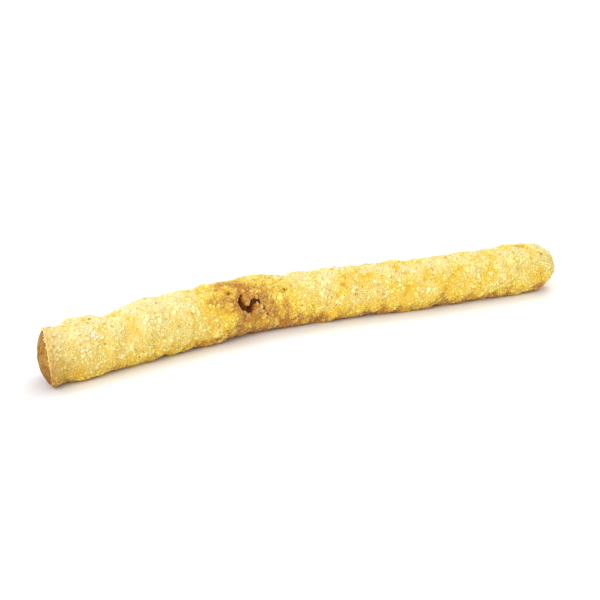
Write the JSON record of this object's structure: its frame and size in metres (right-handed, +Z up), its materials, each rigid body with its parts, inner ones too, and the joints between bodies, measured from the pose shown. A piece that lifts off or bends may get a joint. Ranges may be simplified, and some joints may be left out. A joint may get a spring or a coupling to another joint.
{
  "type": "grissini breadstick",
  "caption": "Slim hand-rolled breadstick in a crunchy cornmeal coat, gently bowed, with a rounded tip and a bare, slanted cut end that has baked into a low dome.",
  "frame": {"origin": "middle of the stick's outline on the surface it lies on", "axes": "+X along the stick from the cut end to the rounded tip, +Y towards the outside of its bow, +Z up"},
  "size_m": [0.1598, 0.0264, 0.0149],
  "materials": {
    "crust": "dry, matt, golden baked dough with a fine floury grain, browner low down, in hollows and on the bare cut face",
    "cornmeal": "dry yellow cornmeal grits and pale flakes, matt with a faint waxy glint",
    "toasted_crumb": "dry, matt, browned crumbs"
  },
  "bodies": {
    "root": {"breadstick": "crust"}
  },
  "joints": []
}
